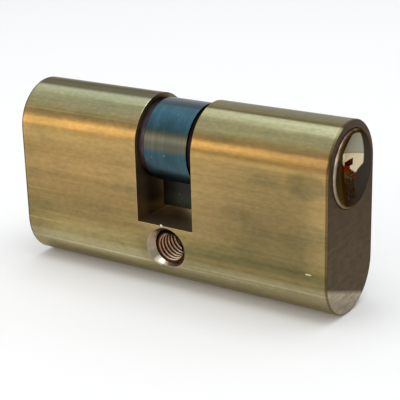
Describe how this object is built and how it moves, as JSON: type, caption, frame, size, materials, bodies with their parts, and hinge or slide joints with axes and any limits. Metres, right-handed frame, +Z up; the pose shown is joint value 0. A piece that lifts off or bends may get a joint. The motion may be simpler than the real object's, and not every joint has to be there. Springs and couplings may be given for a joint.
{
  "type": "oval profile lock cylinder",
  "caption": "Double oval profile cylinder with a dished plug in each end, a turning cam in the middle gap, spring-loaded pins below the plugs and a threaded fixing hole.",
  "frame": {"origin": "under the fixing hole, on the lowest line of the round bottom edge, midway between the flat sides", "axes": "+X along the cylinder to the right end, +Z up from the fixing hole to the plugs, -Y the flat side that faces the camera"},
  "size_m": [0.0558, 0.014, 0.029],
  "materials": {
    "body_brass": "drawn and satin",
    "plug_brass": "turned, dull",
    "cam_steel": "sintered, blued",
    "clip_steel": "dark spring steel",
    "clutch_steel": "sintered",
    "pin_brass": "turned",
    "driver_steel": "turned",
    "spring_steel": "drawn wire",
    "cap_brass": "pressed in and finished with the body"
  },
  "bodies": {
    "cylinder": {"cylinder_body": "body_brass", "chamber_cap_right_1": "cap_brass", "chamber_cap_right_2": "cap_brass", "chamber_cap_right_3": "cap_brass", "chamber_cap_right_4": "cap_brass", "chamber_cap_right_5": "cap_brass", "chamber_cap_left_1": "cap_brass", "chamber_cap_left_2": "cap_brass", "chamber_cap_left_3": "cap_brass", "chamber_cap_left_4": "cap_brass", "chamber_cap_left_5": "cap_brass", "pin_spring_right_1": "spring_steel", "pin_spring_right_2": "spring_steel", "pin_spring_right_3": "spring_steel", "pin_spring_right_4": "spring_steel", "pin_spring_right_5": "spring_steel", "pin_spring_left_1": "spring_steel", "pin_spring_left_2": "spring_steel", "pin_spring_left_3": "spring_steel", "pin_spring_left_4": "spring_steel", "pin_spring_left_5": "spring_steel"},
    "plug_right": {"plug_right": "plug_brass", "circlip_right": "clip_steel"},
    "plug_left": {"plug_left": "plug_brass", "circlip_left": "clip_steel"},
    "cam": {"cam": "cam_steel"},
    "clutch_right": {"clutch_right": "clutch_steel", "clutch_spring": "spring_steel"},
    "clutch_left": {"clutch_left": "clutch_steel"},
    "key_pin_right_1": {"key_pin_right_1": "pin_brass"},
    "driver_pin_right_1": {"driver_pin_right_1": "driver_steel"},
    "key_pin_right_2": {"key_pin_right_2": "pin_brass"},
    "driver_pin_right_2": {"driver_pin_right_2": "driver_steel"},
    "key_pin_right_3": {"key_pin_right_3": "pin_brass"},
    "driver_pin_right_3": {"driver_pin_right_3": "driver_steel"},
    "key_pin_right_4": {"key_pin_right_4": "pin_brass"},
    "driver_pin_right_4": {"driver_pin_right_4": "driver_steel"},
    "key_pin_right_5": {"key_pin_right_5": "pin_brass"},
    "driver_pin_right_5": {"driver_pin_right_5": "driver_steel"},
    "key_pin_left_1": {"key_pin_left_1": "pin_brass"},
    "driver_pin_left_1": {"driver_pin_left_1": "driver_steel"},
    "key_pin_left_2": {"key_pin_left_2": "pin_brass"},
    "driver_pin_left_2": {"driver_pin_left_2": "driver_steel"},
    "key_pin_left_3": {"key_pin_left_3": "pin_brass"},
    "driver_pin_left_3": {"driver_pin_left_3": "driver_steel"},
    "key_pin_left_4": {"key_pin_left_4": "pin_brass"},
    "driver_pin_left_4": {"driver_pin_left_4": "driver_steel"},
    "key_pin_left_5": {"key_pin_left_5": "pin_brass"},
    "driver_pin_left_5": {"driver_pin_left_5": "driver_steel"}
  },
  "joints": [
    {"name": "plug_right_turn", "type": "hinge", "parent": "cylinder", "child": "plug_right", "pos_m": [0.016, 0, 0.022], "axis": [1, 0, 0], "continuous": true},
    {"name": "plug_left_turn", "type": "hinge", "parent": "cylinder", "child": "plug_left", "pos_m": [-0.016, 0, 0.022], "axis": [1, 0, 0], "continuous": true},
    {"name": "cam_turn", "type": "hinge", "parent": "cylinder", "child": "cam", "pos_m": [0, 0, 0.022], "axis": [1, 0, 0], "continuous": true},
    {"name": "clutch_right_shift", "type": "slide", "parent": "plug_right", "child": "clutch_right", "axis": [1, 0, 0], "range_m": [0, 0.002]},
    {"name": "clutch_left_shift", "type": "slide", "parent": "plug_left", "child": "clutch_left", "axis": [1, 0, 0], "range_m": [0, 0.002]},
    {"name": "key_pin_right_1_lift", "type": "slide", "parent": "plug_right", "child": "key_pin_right_1", "axis": [0, 0, 1], "range_m": [0, 0.0012]},
    {"name": "driver_pin_right_1_press", "type": "slide", "parent": "cylinder", "child": "driver_pin_right_1", "axis": [0, 0, 1], "range_m": [-0.002, 0], "stiffness_N_per_m": 120, "springref_m": 0.004, "deforming": ["pin_spring_right_1"]},
    {"name": "key_pin_right_2_lift", "type": "slide", "parent": "plug_right", "child": "key_pin_right_2", "axis": [0, 0, 1], "range_m": [0, 0.0012]},
    {"name": "driver_pin_right_2_press", "type": "slide", "parent": "cylinder", "child": "driver_pin_right_2", "axis": [0, 0, 1], "range_m": [-0.002, 0], "stiffness_N_per_m": 120, "springref_m": 0.004, "deforming": ["pin_spring_right_2"]},
    {"name": "key_pin_right_3_lift", "type": "slide", "parent": "plug_right", "child": "key_pin_right_3", "axis": [0, 0, 1], "range_m": [0, 0.0012]},
    {"name": "driver_pin_right_3_press", "type": "slide", "parent": "cylinder", "child": "driver_pin_right_3", "axis": [0, 0, 1], "range_m": [-0.002, 0], "stiffness_N_per_m": 120, "springref_m": 0.004, "deforming": ["pin_spring_right_3"]},
    {"name": "key_pin_right_4_lift", "type": "slide", "parent": "plug_right", "child": "key_pin_right_4", "axis": [0, 0, 1], "range_m": [0, 0.0012]},
    {"name": "driver_pin_right_4_press", "type": "slide", "parent": "cylinder", "child": "driver_pin_right_4", "axis": [0, 0, 1], "range_m": [-0.002, 0], "stiffness_N_per_m": 120, "springref_m": 0.004, "deforming": ["pin_spring_right_4"]},
    {"name": "key_pin_right_5_lift", "type": "slide", "parent": "plug_right", "child": "key_pin_right_5", "axis": [0, 0, 1], "range_m": [0, 0.0012]},
    {"name": "driver_pin_right_5_press", "type": "slide", "parent": "cylinder", "child": "driver_pin_right_5", "axis": [0, 0, 1], "range_m": [-0.002, 0], "stiffness_N_per_m": 120, "springref_m": 0.004, "deforming": ["pin_spring_right_5"]},
    {"name": "key_pin_left_1_lift", "type": "slide", "parent": "plug_left", "child": "key_pin_left_1", "axis": [0, 0, 1], "range_m": [0, 0.0012]},
    {"name": "driver_pin_left_1_press", "type": "slide", "parent": "cylinder", "child": "driver_pin_left_1", "axis": [0, 0, 1], "range_m": [-0.002, 0], "stiffness_N_per_m": 120, "springref_m": 0.004, "deforming": ["pin_spring_left_1"]},
    {"name": "key_pin_left_2_lift", "type": "slide", "parent": "plug_left", "child": "key_pin_left_2", "axis": [0, 0, 1], "range_m": [0, 0.0012]},
    {"name": "driver_pin_left_2_press", "type": "slide", "parent": "cylinder", "child": "driver_pin_left_2", "axis": [0, 0, 1], "range_m": [-0.002, 0], "stiffness_N_per_m": 120, "springref_m": 0.004, "deforming": ["pin_spring_left_2"]},
    {"name": "key_pin_left_3_lift", "type": "slide", "parent": "plug_left", "child": "key_pin_left_3", "axis": [0, 0, 1], "range_m": [0, 0.0012]},
    {"name": "driver_pin_left_3_press", "type": "slide", "parent": "cylinder", "child": "driver_pin_left_3", "axis": [0, 0, 1], "range_m": [-0.002, 0], "stiffness_N_per_m": 120, "springref_m": 0.004, "deforming": ["pin_spring_left_3"]},
    {"name": "key_pin_left_4_lift", "type": "slide", "parent": "plug_left", "child": "key_pin_left_4", "axis": [0, 0, 1], "range_m": [0, 0.0012]},
    {"name": "driver_pin_left_4_press", "type": "slide", "parent": "cylinder", "child": "driver_pin_left_4", "axis": [0, 0, 1], "range_m": [-0.002, 0], "stiffness_N_per_m": 120, "springref_m": 0.004, "deforming": ["pin_spring_left_4"]},
    {"name": "key_pin_left_5_lift", "type": "slide", "parent": "plug_left", "child": "key_pin_left_5", "axis": [0, 0, 1], "range_m": [0, 0.0012]},
    {"name": "driver_pin_left_5_press", "type": "slide", "parent": "cylinder", "child": "driver_pin_left_5", "axis": [0, 0, 1], "range_m": [-0.002, 0], "stiffness_N_per_m": 120, "springref_m": 0.004, "deforming": ["pin_spring_left_5"]}
  ],
  "couplings": [
    {"joint": "cam_turn", "follows": "plug_right_turn", "ratio": 1},
    {"joint": "clutch_left_shift", "follows": "clutch_right_shift", "ratio": 1}
  ]
}
